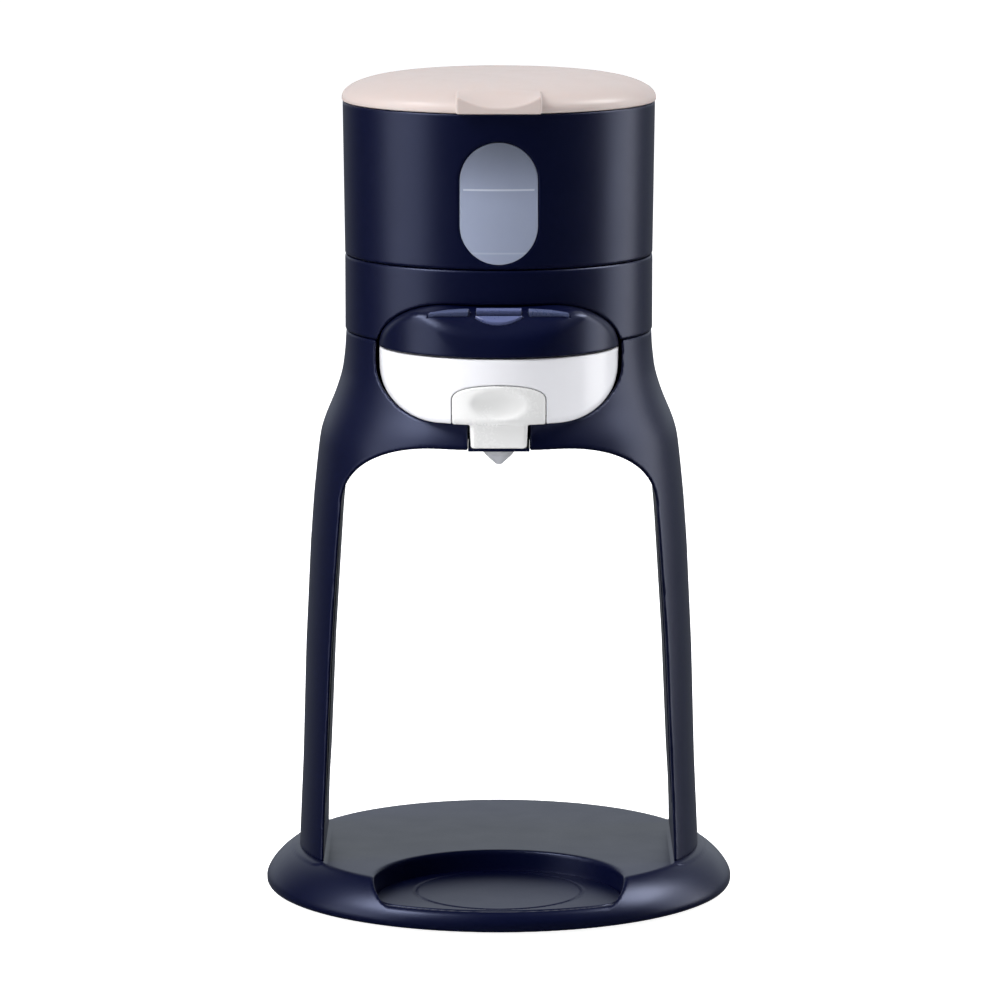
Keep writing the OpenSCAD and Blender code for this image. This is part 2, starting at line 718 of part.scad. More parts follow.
// outside of the drawer: an upright round front, its lower corners following
// the opening it slides through
module bowl_solid(inset) {
  corner_w = 24.4 - inset;
  intersection() {
    translate([0, -bowl_y, 200]) cylinder(r = bowl_r - inset, h = 27.6 + inset);
    extrude_y(-90, 30) polygon(with_mirror(concat(
      [for (a = [-90 : 6 : 0]) ellipse_pt(low_x, low_z, corner_w, 19.5 - inset, a)],
      [[low_x + corner_w, 230]])));
  }
}
module bowl_void() {
  translate([0, -bowl_y, 0]) rotate_extrude() polygon([[0, 204.6], [18, 205.2],
    [34, 208.4], [41, 213], [44.4, 220], [bowl_r - bowl_wall, 230], [0, 230]]);
}
module grip_2d(gap) {
  half_w = 18.5 + gap;
  polygon(concat([[-half_w, 201], [half_w, 201]], [for (a = [0 : 12 : 180])
    [half_w * cos(a), 206 + (11.2 + gap) * pow(sin(a), 0.7)]]));
}
module drawer_body() {
  color(white) difference() {
    union() {
      difference() {
        bowl_solid(0);
        bowl_void();
      }
      for (s = [-1, 1]) on_side(s)
        translate([rail_x, 2, belly_z + 0.4]) cube([3.4, 10, 12.2]);
      at_nozzle(198) cylinder(r = collar_r, h = 6, $fn = 48);
    }
    // pocket in the front wall for the grip
    difference() {
      extrude_y(-90, -bowl_y - 20) grip_2d(0.2);
      bowl_solid(1.6);
      at_nozzle(190) cylinder(r = collar_r, h = 16, $fn = 48);
    }
    at_nozzle(190) cylinder(r = 4, h = 20, $fn = 48);
  }
}
module spout_grip() {
  color(white) difference() {
    union() {
      intersection() {
        difference() {
          bowl_solid(0);
          bowl_solid(1.5);
        }
        extrude_y(-90, -60) grip_2d(0);
      }
      mid_cube(spout_y, 191.9, [spout_w, 30.4, 10]);
      mid_cube(spout_y, 201, [spout_w, 12.5, 2]);
    }
    at_nozzle(196) cylinder(r = collar_r + 0.1, h = 30, $fn = 48);
    at_nozzle(190) cylinder(r = 4.2, h = 30, $fn = 48);
    at_nozzle(190) cylinder(r = 8.1, h = 3.1, $fn = 48);
  }
}
module nozzle_plate() {
  color(navy) difference() {
    mid_cube(spout_y, 190.7, [24.2, 30.6, 1.15]);
    at_nozzle(190) cylinder(r = 6.7, h = 5, $fn = 48);
  }
}
module nozzle() {
  color(frost, 0.7) at_nozzle() difference() {
    rotate_extrude() polygon([[0, 182.3], [1.1, 182.4], [5.7, 186.6], [6.1, 186.8],
      [6.5, 189], [6.5, 191.9], [8, 191.9], [8, 193.0], [0, 193.0]]);
    rotate_extrude() polygon([[0, 182], [0.8, 182], [0.8, 184], [4, 187.6],
      [4, 194], [0, 194]]);
  }
}

base_tray();
base_cover();
ballast_plate();
rubber_feet();
base_screws();
leg_bolts();
bottle_rest();
stand_frame();
leg_cover_left();
leg_cover_right();
drawer_rails();
head_housing();
head_screws();
control_hood();
splash_plate();
start_button();
left_button();
right_button();
display_window();
control_board();
tact_switches();
display_module();
heater_block();
thermal_fuse();
temperature_sensor();
pump_body();
pump_mounts();
inlet_hose();
outlet_hose();
spray_hose();
hose_clips();
spray_head();
power_board();
power_inlet();
inlet_pins();
wiring_harness();
tank_coupling();
coupling_seal();
tank_shell();
tank_vessel();
valve_poppet();
valve_spring();
valve_seal();
lid();
lid_gasket();
lid_hinge_pin();
drawer_body();
spout_grip();
nozzle_plate();
nozzle();
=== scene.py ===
"""Countertop bottle-filling dispenser: tray, arched stand, head with drawer and keys, tank, lid.

It stands on z = 0 with its axis on z. The front faces -y and left is -x.
Shapes are worked out in mm as signed distance fields, negative inside, then meshed in metres.
"""
import bpy
import json
import math
import numpy as np
from functools import reduce
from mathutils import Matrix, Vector


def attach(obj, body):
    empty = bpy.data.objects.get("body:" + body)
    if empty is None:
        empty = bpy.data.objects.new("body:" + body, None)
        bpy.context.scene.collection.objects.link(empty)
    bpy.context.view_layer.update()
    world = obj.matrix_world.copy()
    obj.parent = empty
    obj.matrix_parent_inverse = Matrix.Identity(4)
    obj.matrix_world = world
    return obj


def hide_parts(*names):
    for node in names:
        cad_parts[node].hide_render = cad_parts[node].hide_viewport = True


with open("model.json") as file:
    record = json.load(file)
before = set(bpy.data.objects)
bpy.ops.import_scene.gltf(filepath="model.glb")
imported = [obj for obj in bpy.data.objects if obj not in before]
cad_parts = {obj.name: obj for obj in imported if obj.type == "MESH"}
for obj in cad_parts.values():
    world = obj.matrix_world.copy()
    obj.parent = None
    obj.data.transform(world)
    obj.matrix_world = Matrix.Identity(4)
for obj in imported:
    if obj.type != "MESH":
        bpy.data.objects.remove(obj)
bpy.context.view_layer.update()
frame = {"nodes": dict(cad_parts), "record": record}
F32 = np.float32


# ---------------------------------------------------------------- signed distance tools (mm)
def dist(a, b):
    return np.sqrt(a * a + b * b)


def overlap(*solids):
    """Intersection with sharp edges."""
    return reduce(np.maximum, solids)


def meet(a, b, radius):
    """Intersection of two solids, the edge between them rounded."""
    return (np.minimum(np.maximum(a, b), -radius)
            + dist(np.maximum(a + radius, 0), np.maximum(b + radius, 0)))


def join(a, b, radius):
    """Union of two solids with a fillet between them."""
    return -meet(-a, -b, radius)


def carve(solid, tool, radius=0):
    """Take the tool away, its rim rounded if a radius is given."""
    return meet(solid, -tool, radius) if radius else np.maximum(solid, -tool)


def band(value, low, high):
    return np.maximum(low - value, value - high)


def rectangle(a, b, half_a, half_b, radius):
    over_a = np.abs(a) - half_a + radius
    over_b = np.abs(b) - half_b + radius
    outside = dist(np.maximum(over_a, 0), np.maximum(over_b, 0))
    return outside + np.minimum(np.maximum(over_a, over_b), 0) - radius


def ellipse(a, b, half_a, half_b, square_a, square_b):
    """Near-distance to an ellipse, from its half axes and their squares."""
    level = dist(a / half_a, b / half_b) + 1e-6
    slope = dist(a / square_a, b / square_b) / level + 1e-9
    return (level - 1) / slope


def superellipse(a, b, half_a, half_b, power=2.2):
    a, b = a / half_a, b / half_b
    level = (a ** power + b ** power) ** (1 / power) + 1e-6
    slope_a, slope_b = a ** (power - 1) / half_a, b ** (power - 1) / half_b
    slope = dist(slope_a, slope_b) * level ** (1 - power) + 1e-9
    return (level - 1) / slope


def polygon(a, b, points):
    """Convex polygon given counter-clockwise."""
    edges = []
    for (a0, b0), (a1, b1) in zip(points, points[1:] + points[:1]):
        length = math.hypot(a1 - a0, b1 - b0)
        edges.append(((b1 - b0) * (a - a0) - (a1 - a0) * (b - b0)) / length)
    return overlap(*edges)


class Outline:
    """Half-width against height: stations joined by lines, then smoothed along z."""
    STEP = 0.25
    MARGIN = 30

    def __init__(self, stations, top, sigma):
        self.z = np.arange(-self.MARGIN, top + self.MARGIN, self.STEP)
        table = np.array(stations, float)
        (first_z, first), (last_z, last) = table[0], table[-1]
        slopes = np.diff(table[:, 1]) / np.diff(table[:, 0])
        value = np.interp(self.z, table[:, 0], table[:, 1])
        value = np.where(self.z < first_z, first + slopes[0] * (self.z - first_z), value)
        value = np.where(self.z > last_z, last + slopes[-1] * (self.z - last_z), value)
        reach = int(4 * sigma / self.STEP)
        offsets = np.arange(-reach, reach + 1) * self.STEP
        weights = np.exp(-0.5 * (offsets / sigma) ** 2)
        weights /= weights.sum()
        padded = np.pad(value, reach, mode="reflect", reflect_type="odd")
        self.value = np.convolve(padded, weights, mode="valid")
        self.slope = np.gradient(self.value, self.z)

    def __call__(self, z):
        return np.interp(z, self.z, self.value).astype(z.dtype)

    def slant(self, z):
        """Factor from horizontal offset to distance square to the wall."""
        slope = np.interp(z, self.z, self.slope)
        return (1.0 / np.sqrt(1.0 + slope * slope)).astype(z.dtype)


# ---------------------------------------------------------------- meshing
SLAB_POINTS = 600000    # grid points evaluated at a time
GRADIENT_STEP = 0.02
SETTLE_ROUNDS = 4


def sample(field, count, xs, ys, zs):
    """Field values on the grid, worked out in slabs along x."""
    values = np.empty(tuple(count), F32)
    step = max(1, int(SLAB_POINTS / (count[1] * count[2])))
    for i in range(0, count[0], step):
        slab = np.broadcast_arrays(xs[i:i + step, None, None], ys[None, :, None],
                                   zs[None, None, :])
        values[i:i + step] = field(*[axis.astype(F32) for axis in slab])
    return values


def edge_centres(values, cells):
    """Mean crossing point of the twelve edges of each cell, in cell units."""
    total, number = np.zeros((len(cells), 3)), np.zeros(len(cells))
    for axis in range(3):
        for i in (0, 1):
            for j in (0, 1):
                near = np.zeros(3, int)
                near[(axis + 1) % 3], near[(axis + 2) % 3] = i, j
                far = near.copy()
                far[axis] = 1
                start = values[tuple((cells + near).T)].astype(float)
                end = values[tuple((cells + far).T)].astype(float)
                crossed = (start < 0) != (end < 0)
                part = np.where(crossed, start / np.where(crossed, start - end, 1), 0)
                point = near + part[:, None] * np.eye(3)[axis]
                total[crossed] += point[crossed]
                number[crossed] += 1
    return total / np.maximum(number, 1)[:, None]


def net_quads(inside, index, count):
    """One quad round each grid edge that crosses the surface."""
    quads = []
    for axis in range(3):
        a, b = (axis + 1) % 3, (axis + 2) % 3
        edges = np.argwhere(np.diff(inside, axis=axis))
        kept = ((edges[:, a] > 0) & (edges[:, a] < count[a] - 1)
                & (edges[:, b] > 0) & (edges[:, b] < count[b] - 1))
        edges = edges[kept]
        corners = []
        for shift_a, shift_b in ((-1, -1), (0, -1), (0, 0), (-1, 0)):
            cell = edges.copy()
            cell[:, a] += shift_a
            cell[:, b] += shift_b
            corners.append(index[tuple(cell.T)])
        quad = np.stack(corners, 1)
        flipped = ~inside[tuple(edges.T)]
        quad[flipped] = quad[flipped][:, ::-1]
        quads.append(quad)
    return np.concatenate(quads)


def settle(field, points, cell):
    """Move the points onto the surface, each staying near its own cell."""
    def at_points(where):
        return field(where[:, 0], where[:, 1], where[:, 2])

    start = points.copy()
    for _ in range(SETTLE_ROUNDS):
        value = at_points(points)
        gradient = np.stack([(at_points(points + step) - at_points(points - step))
                             / (2 * GRADIENT_STEP) for step in np.eye(3) * GRADIENT_STEP], 1)
        steepness = np.maximum((gradient * gradient).sum(1), 0.05)
        move = -(value / steepness)[:, None] * gradient
        length = np.linalg.norm(move, axis=1, keepdims=True)
        move *= np.minimum(1, 0.5 * cell / np.maximum(length, 1e-9))
        offset = points + move - start
        length = np.linalg.norm(offset, axis=1, keepdims=True)
        points = start + offset * np.minimum(1, 0.9 * cell / np.maximum(length, 1e-9))
    return points


def surface_nets(field, low, high, cell):
    """A quad mesh of field = 0."""
    low, high = np.array(low, float), np.array(high, float)
    count = np.ceil((high - low) / cell).astype(int) + 1
    axes = [(low[i] + cell * np.arange(count[i])).astype(F32) for i in range(3)]
    values = sample(field, count, *axes)
    inside = values < 0
    nx, ny, nz = count - 1
    corners_in = np.zeros((nx, ny, nz), np.int8)
    for i, j, k in np.ndindex(2, 2, 2):
        corners_in += inside[i:nx + i, j:ny + j, k:nz + k]
    active = (corners_in > 0) & (corners_in < 8)
    cells = np.argwhere(active)
    index = np.full(active.shape, -1, np.int64)
    index[active] = np.arange(len(cells))
    points = low + cell * (cells + edge_centres(values, cells))
    return settle(field, points, cell), net_quads(inside, index, count)


def place(name, data):
    ob = bpy.data.objects.new(name, data)
    bpy.context.scene.collection.objects.link(ob)
    return ob


def mesh_piece(name, points, quads, body, cad_node, slot, finish):
    """Smooth mesh from points in mm, standing in for one CAD node."""
    mesh = bpy.data.meshes.new(name)
    points = np.asarray(points, np.float32) / 1000.0
    quads = np.asarray(quads, np.int32)
    number, sides = quads.shape
    mesh.vertices.add(len(points))
    mesh.vertices.foreach_set("co", points.ravel())
    mesh.loops.add(number * sides)
    mesh.loops.foreach_set("vertex_index", quads.ravel())
    mesh.polygons.add(number)
    starts = np.arange(0, number * sides, sides, dtype=np.int32)
    mesh.polygons.foreach_set("loop_start", starts)
    mesh.polygons.foreach_set("loop_total", np.full(number, sides, np.int32))
    mesh.update(calc_edges=True)
    mesh.validate()
    mesh.polygons.foreach_set("use_smooth", np.full(len(mesh.polygons), True, bool))
    ob = place(name, mesh)
    mesh.materials.append(MATERIALS[finish or slot])
    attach(ob, body)
    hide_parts(cad_node)


def piece(name, field, low, high, cell, body, cad_node, slot, finish=None):
    """Mesh a field inside the box low..high; finish names a material other than the slot's."""
    points, quads = surface_nets(field, low, high, cell)
    mesh_piece(name, points, quads, body, cad_node, slot, finish)


# ---------------------------------------------------------------- shader tools
def set_inputs(tree, node, inputs):
    """Link each input given as a socket and set each given as a value."""
    for key, value in inputs.items():
        if isinstance(value, bpy.types.NodeSocket):
            tree.links.new(value, node.inputs[key])
        else:
            node.inputs[key].default_value = value


def add_node(tree, kind, inputs={}, **settings):
    node = tree.nodes.new("ShaderNode" + kind)
    for key, value in settings.items():
        setattr(node, key, value)
    set_inputs(tree, node, inputs)
    return node


def calc(tree, operation, *values):
    return add_node(tree, "Math", dict(enumerate(values)), operation=operation).outputs[0]


def ramp(tree, value, start, end, low, high, kind="SMOOTHSTEP"):
    """Take start..end to low..high."""
    inputs = {"Value": value, "From Min": start, "From Max": end, "To Min": low, "To Max": high}
    return add_node(tree, "MapRange", inputs, interpolation_type=kind).outputs["Result"]


def empty_tree(owner):
    owner.use_nodes = True
    owner.node_tree.nodes.clear()
    return owner.node_tree


# ---------------------------------------------------------------- materials
def plastic(name, color, rough, specular=0.5, grain=0.18, grain_mm=0.35, bump_mm=0.02,
            drift=0.05, rough_drift=0.06, coat=0.0, metal=0.0, scatter=0.0,
            scatter_radius=None, stretch=(1, 1, 1)):
    """Moulded surface: fine grain, slow roughness drift, faint colour drift."""
    material = bpy.data.materials.new(name)
    tree = empty_tree(material)
    coords = add_node(tree, "TexCoord").outputs["Object"]
    mapping = add_node(tree, "Mapping", {"Vector": coords, "Scale": stretch})

    def noise(scale, detail):
        inputs = {"Vector": mapping.outputs["Vector"], "Scale": scale, "Detail": detail}
        return add_node(tree, "TexNoise", inputs).outputs["Fac"]

    slow = noise(scale=14.0, detail=4.0)
    fine = noise(scale=1000.0 / grain_mm / 3.0, detail=2.0)
    middle = noise(scale=60.0, detail=3.0)
    base = np.array(color, float)
    tint = add_node(tree, "Mix", data_type="RGBA", inputs={
        "Factor": slow,
        "A": (*np.clip(base * (1 - drift), 0, 1), 1),
        "B": (*np.clip(base * (1 + drift), 0, 1), 1)})
    # roughness follows 35 % fine grain and 65 % middle noise
    blend = calc(tree, "MULTIPLY_ADD", fine, 0.35, calc(tree, "MULTIPLY", middle, 0.65))
    roughness = ramp(tree, blend, start=0.3, end=0.7, low=max(0.02, rough - rough_drift),
                     high=rough + rough_drift, kind="LINEAR")
    bump = add_node(tree, "Bump", {
        "Strength": grain, "Distance": bump_mm / 1000.0, "Height": fine})
    shader = add_node(tree, "BsdfPrincipled", {
        "Base Color": tint.outputs["Result"], "Roughness": roughness,
        "Normal": bump.outputs["Normal"], "Specular IOR Level": specular, "IOR": 1.5,
        "Metallic": metal, "Coat Weight": coat, "Coat Roughness": 0.15})
    if scatter > 0:
        set_inputs(tree, shader, {
            "Subsurface Weight": scatter, "Subsurface Radius": scatter_radius,
            "Subsurface Scale": 1.0})
    add_node(tree, "OutputMaterial", {"Surface": shader.outputs["BSDF"]})
    return material


def srgb(*levels):
    """Linear colour from 0-255 levels."""
    return tuple((c / 255.0) / 12.92 if c / 255.0 <= 0.04045
                 else ((c / 255.0 + 0.055) / 1.055) ** 2.4 for c in levels)


# keyed by material slot; white_warm is a variant for a single piece, and the darker smoke is the
# key plastic with painted shade for the two side keys
MATERIALS = {
    "navy": plastic("navy_satin", color=(0.0007, 0.0016, 0.0165), rough=0.34, specular=0.52,
                    grain=0.06, grain_mm=0.4, drift=0.12, rough_drift=0.02),
    "blush": plastic("blush_satin", color=srgb(190, 177, 173), rough=0.38, specular=0.45,
                     grain=0.12, drift=0.015, scatter=0.12,
                     scatter_radius=(0.004, 0.002, 0.0015)),
    "white": plastic("white_gloss", color=srgb(227, 227, 232), rough=0.22, grain=0.03,
                     drift=0.01, scatter=0.1, scatter_radius=(0.003, 0.003, 0.003)),
    "white_warm": plastic("white_warm", color=srgb(224, 224, 224), rough=0.26, grain=0.03,
                          drift=0.01, scatter=0.1, scatter_radius=(0.003, 0.003, 0.003)),
    "smoke": plastic("key_smoke", color=srgb(84, 92, 132), rough=0.28, grain=0.04, drift=0.04,
                     coat=0.4),
    # darker copy of the key plastic: painted shade on the two side keys
    "smoke_dark": plastic("key_smoke_painted_shade", color=srgb(72, 80, 112), rough=0.28, grain=0.04,
                          drift=0.04, coat=0.4),
    "silicone": plastic("silicone_grey", color=srgb(186, 187, 193), rough=0.42, specular=0.4,
                        grain=0.12, drift=0.03, scatter=0.35,
                        scatter_radius=(0.004, 0.004, 0.0045)),
    "grey_plastic": plastic("grey_plastic", color=srgb(120, 124, 134), rough=0.45, grain=0.2),
    "black_plastic": plastic("black_plastic", color=srgb(26, 26, 29), rough=0.5, grain=0.3,
                             drift=0.08),
    "rubber": plastic("rubber_black", color=srgb(22, 22, 23), rough=0.75, specular=0.3,
                      grain=0.5, drift=0.1, bump_mm=0.05),
    "steel": plastic("steel_zinc", color=(0.55, 0.56, 0.58), rough=0.32, metal=1.0,
                     grain=0.15, drift=0.08, stretch=(1, 1, 0.15)),
    "alloy": plastic("alloy_cast", color=(0.62, 0.63, 0.65), rough=0.5, metal=1.0, grain=0.6,
                     drift=0.08, bump_mm=0.06, grain_mm=0.8),
    "brass": plastic("brass_pins", color=(0.78, 0.60, 0.30), rough=0.25, metal=1.0, grain=0.1),
    "circuit": plastic("circuit_green", color=srgb(18, 78, 46), rough=0.35, grain=0.2,
                       drift=0.25, coat=0.3),
    "ceramic": plastic("ceramic", color=srgb(226, 220, 205), rough=0.6, grain=0.4),
    "cable": plastic("cable_black", color=srgb(24, 24, 26), rough=0.55, grain=0.3, drift=0.08),
    "frosted": plastic("vessel_frosted", color=srgb(138, 146, 168), rough=0.34, grain=0.05,
                       scatter=0.25, scatter_radius=(0.006, 0.006, 0.007)),
}
set_inputs(MATERIALS["navy"].node_tree, MATERIALS["navy"].node_tree.nodes["Principled BSDF"],
           {"Specular Tint": (0.58, 0.66, 1.0, 1)})

# level lines on the window, in metres: height, half length, strength
LEVEL_LINES = ((0.2928, 0.0140, 0.32), (0.2678, 0.0110, 0.12))
LINE_HALF_HEIGHT = 0.00035
LINE_FRONT_Y = -0.03    # lines show only in front of this


def window_marks(material):
    """Frosted wall: darker toward the top, two thin level lines across the window."""
    tree = material.node_tree
    base = tree.nodes["Principled BSDF"].inputs["Base Color"]
    coords = add_node(tree, "TexCoord").outputs["Object"]
    place_on = add_node(tree, "SeparateXYZ", {0: coords}).outputs
    fade = ramp(tree, place_on["Z"], start=0.285, end=0.313, low=1.0, high=0.42)
    color = add_node(tree, "Mix", data_type="RGBA", blend_type="MULTIPLY", inputs={
        "Factor": 1.0, "A": base.links[0].from_socket, "B": fade}).outputs["Result"]
    for height, half_length, strength in LEVEL_LINES:
        off_height = calc(tree, "ABSOLUTE", calc(tree, "SUBTRACT", place_on["Z"], height))
        in_height = calc(tree, "LESS_THAN", off_height, LINE_HALF_HEIGHT)
        off_centre = calc(tree, "ABSOLUTE", place_on["X"])
        in_length = calc(tree, "LESS_THAN", off_centre, half_length)
        on_line = calc(tree, "MULTIPLY", in_height, in_length)
        in_front = calc(tree, "LESS_THAN", place_on["Y"], LINE_FRONT_Y)
        shown = calc(tree, "MULTIPLY", on_line, in_front)
        amount = calc(tree, "MULTIPLY", shown, strength)
        color = add_node(tree, "Mix", data_type="RGBA", inputs={
            "Factor": amount, "A": color, "B": (0.75, 0.78, 0.85, 1)}).outputs["Result"]
    tree.links.new(color, base)


window_marks(MATERIALS["frosted"])

# the CAD nodes carried over as they are
slot_of = {part["node"]: part["material_slot"] for part in frame["record"]["subparts"]}
for node_name, ob in frame["nodes"].items():
    material = MATERIALS[slot_of[node_name]]
    if len(ob.material_slots) == 0:
        ob.data.materials.append(material)
    for material_slot in ob.material_slots:
        material_slot.material = material

# ---------------------------------------------------------------- base tray and rest plate (mm)
TRAY_TOP = 18.0
TRAY_R = 95.0
ROLL_R, ROLL_Z = 82.0, 5.5    # where the soft roll of the rim begins
TRAY_WALL = 3.0
RECESS_Y = -66.3              # centre of the recess's round part
REST_TOP = 10.0


def tray_outer(x, y, z):
    """Flat plate with a soft roll down to the table."""
    wide, tall = TRAY_R - ROLL_R, TRAY_TOP - ROLL_Z
    out = np.maximum(dist(x, y) - ROLL_R, 0) / wide
    rise = np.maximum(z - ROLL_Z, 0) / tall
    slope_out, slope_rise = 1.4 * out ** 0.4 / wide, 1.4 * rise ** 0.4 / tall
    roll = (out ** 1.4 + rise ** 1.4 - 1) / (dist(slope_out, slope_rise) + 1e-3)
    return meet(roll, 1.75 - z, 2.4)


def recess_plan(x, y, shrink, front_r=91.0, flare=0.0):
    """Plan of the bottle recess; flare pushes its front edge out near the middle."""
    side = np.abs(x)
    walls = np.where(y > RECESS_Y, dist(x, y - RECESS_Y), side) - 49.6
    front = dist(x, y) - front_r - flare * np.clip((44 - side) / 8, 0, 1)
    return meet(walls, front, 9.0) + shrink


def foot_pad(x, y):
    """Plan of the raised pad round a leg's foot."""
    return meet(dist(x, y) - 84.8, np.abs(y) - 43.5, 5.0)


def tray_field(x, y, z):
    outer = tray_outer(x, y, z)
    radius = dist(x, y)
    upper = np.maximum(recess_plan(x, y, 0.0, front_r=92.8, flare=4.0), REST_TOP - z)
    solid = carve(outer, upper, 1.5)
    pads = meet(tray_outer(x, y, z - 0.45), foot_pad(x, y), 0.35)
    solid = np.minimum(solid, overlap(pads, 9.0 - z, 70.4 - np.abs(x)))
    solid = carve(solid, np.maximum(recess_plan(x, y, 0.1), 7.2 - z), 0.8)
    # hollow underneath, leaving the recess its own floor and wall
    hollow = overlap(outer + TRAY_WALL, z - 15.0, radius - 90.9)
    hollow = carve(hollow, np.maximum(recess_plan(x, y, -2.2), 5.6 - z))
    return carve(solid, np.minimum(hollow, np.maximum(radius - 90.95, z - 3.6)))


def rest_field(x, y, z):
    """Plate lying in the recess, with a shallow ring groove."""
    solid = meet(recess_plan(x, y, 0.55), z - REST_TOP, 0.6)
    ring = np.abs(dist(x, y + 54.5) - 33.4) - 0.6
    solid = carve(solid, np.maximum(ring, 9.6 - z), 0.2)
    return np.maximum(solid, 8.05 - z)


# ---------------------------------------------------------------- stand and head (mm)
ARCH_Z, CUT_Z = 190.7, 162.0    # crown and spring of the arch
STAND_Z, HEAD_Z = 230.2, 260.9  # tops of stand and head
NECK_R = 61.6
HEAD_R = 62.0
MOUTH_HALF = 49.2
BEND_LOW_Z, BEND_HIGH_Z = 221.5, 226    # the mouth is straight-sided between these
FIT_GAP = 0.15
# half width and half height of the mouth's corner ellipses, then their rounded squares
MOUTH_BOTTOM = (25.2, 20.6, 635.0, 424.4)
MOUTH_TOP = (29.2, 21.4, 852.6, 458.0)

# height, outside radius of the stand
STAND_R = Outline([
    (14, 81.6), (24, 81.3), (54, 79.9), (101, 78.5), (144, 76.4), (163, 75.0), (174, 73.9),
    (183, 72.9), (189, 72.1), (194, 70.6), (199, 68.5), (204, 66.3), (209, 64.6), (214, 63.1),
    (223, 62), (231, NECK_R), (240, NECK_R)], top=240, sigma=2.2)
STAND_R.value = np.where(STAND_R.z > 232, NECK_R, STAND_R.value)
# height, distance of a leg's inner face from the centre plane
LEG_X = Outline([(0, 71), (14, 70.8), (30, 70.5), (54, 69.4), (100, 67.4), (132, 65.4),
                 (163, 63), (190, 60.9)], top=200, sigma=5.0)


def arch_opening(x, z):
    """Space between the legs, blending from leg faces to arch round CUT_Z."""
    side = np.abs(x)
    arch = superellipse(np.maximum(side - 23, 0), np.maximum(z - CUT_Z, 0),
                        40.0, ARCH_Z - CUT_Z)
    part = np.clip((z - (CUT_Z - 6)) / 12.0, 0, 1)
    legs = side - LEG_X(z)
    return np.where(z > CUT_Z + 6, arch, legs * (1 - part) + arch * part)


def mouth(x, z, shrink):
    """Rounded opening filled by hood and drawer."""
    side = np.abs(x)
    bottom = ellipse(np.maximum(side - 24, 0), np.maximum(BEND_LOW_Z - z, 0), *MOUTH_BOTTOM)
    top = ellipse(np.maximum(side - 20, 0), np.maximum(z - BEND_HIGH_Z, 0), *MOUTH_TOP)
    shape = np.where(z < BEND_LOW_Z, bottom,
                     np.where(z > BEND_HIGH_Z, top, side - MOUTH_HALF))
    return shape + shrink


def mouth_tool(x, y, z):
    return np.maximum(mouth(x, z, FIT_GAP), y + 12)


def leg_pocket(x, y, z, gap=0.2):
    """Pocket in the inner face of each leg."""
    side = np.abs(x)
    depth = np.maximum(LEG_X(z) - 3 - side, side - LEG_X(z) - 3.6)
    pocket = meet(depth, np.abs(y) - 28 - gap, 0.4)
    return meet(pocket, np.maximum(40 - gap - z, z - 156 - gap), 0.4)


def stand_field(x, y, z):
    side = np.abs(x)
    outer = (dist(x, y) - STAND_R(z)) * STAND_R.slant(z)
    solid = meet(outer, z - STAND_Z, 0.5)
    solid = carve(solid, arch_opening(x, z), 1.5)
    solid = carve(solid, meet(outer + 3.0, 193.5 - z, 2.0), 0.6)
    solid = carve(solid, mouth_tool(x, y, z), 0.5)
    # slot open at the front, ending at y = -41.5
    slot_end, slot_half = 41.5, 60
    slot = rectangle(x, y + slot_end + slot_half, 12.18, slot_half, FIT_GAP)
    solid = carve(solid, overlap(slot, z - 204, 170 - z), 0.7)
    # stepped rectangular opening at the back
    solid = carve(solid, np.maximum(rectangle(x, z - 212, 14.3, 10.3, 0.8), 48 - y))
    solid = carve(solid, np.maximum(rectangle(x, z - 212, 16.7, 12.7, 0.5), 63.8 - y), 0.3)
    solid = carve(solid, leg_pocket(x, y, z))
    # round holes in the floor under the head, one pair per place
    for hole_x, hole_y in ((50, 5), (32, 40)):
        hole = dist(side - hole_x, y - hole_y) - 3.6
        solid = carve(solid, np.maximum(hole, z - 196.5))
    return np.maximum(solid, TRAY_TOP - z)


def head_field(x, y, z):
    radius = dist(x, y)
    solid = meet(radius - HEAD_R, band(z, STAND_Z + 0.35, HEAD_Z), 0.7)
    solid = carve(solid, meet(radius - 59.4, z - 257.0, 1.0), 0.4)
    solid = carve(solid, np.maximum(radius - 59.6, 259.5 - z), 0.5)
    solid = carve(solid, mouth_tool(x, y, z), 0.6)
    return carve(solid, dist(x, y - 25) - 11.3, 0.4)


# ---------------------------------------------------------------- control hood and keys (mm)
PANEL_Y, PANEL_Z = -62, 246.8
PANEL_TILT = math.radians(33)
TILT_SIN, TILT_COS = math.sin(PANEL_TILT), math.cos(PANEL_TILT)
BOWL_Y = -27.7    # upright axis of the round hood and drawer fronts


def panel(x, y, z):
    """Coordinates on the sloping control panel: across, up the slope, above it."""
    return (x, (y - PANEL_Y) * TILT_COS + (z - PANEL_Z) * TILT_SIN,
            -(y - PANEL_Y) * TILT_SIN + (z - PANEL_Z) * TILT_COS)


def side_plan(across, up):
    return polygon(np.abs(across), up, [
        (12.2, -5.6), (27.8, -5.6), (27.0, -4.6), (20.0, -3.5), (11.6, -3.3)])


def window_plan(across, up):
    return polygon(across, up, [(-8.7, -4.8), (8.7, -4.8), (8.9, -3.0), (-8.9, -3.0)])


def start_plan(across, up):
    return np.maximum(dist(across, up - 1.9) - 12.6, up + 6.6)


def hood_skin(x, y, z):
    """Pillow-like outside: flat sloping panel, steeper front, upright round edge."""
    above = panel(x, y, z)[2]
    front = -(y + 73.3) * 0.8988 + (z - 239.2) * 0.4384
    skin = meet(above, front, 3.0)
    skin = meet(skin, dist(x, y - BOWL_Y) - 49.3, 3.6)
    return meet(skin, mouth(x, z, 0.45), 2.2)


def hood_field(x, y, z):
    across, up, above = panel(x, y, z)
    skin = hood_skin(x, y, z)
    solid = meet(skin, 228.2 - z, 0.7)
    solid = np.maximum(carve(solid, skin + 2.3), y + 38)
    for plan in (side_plan, window_plan, start_plan):
        solid = carve(solid, np.maximum(plan(across, up) - 0.2, -6 - above), 0.25)
    return solid


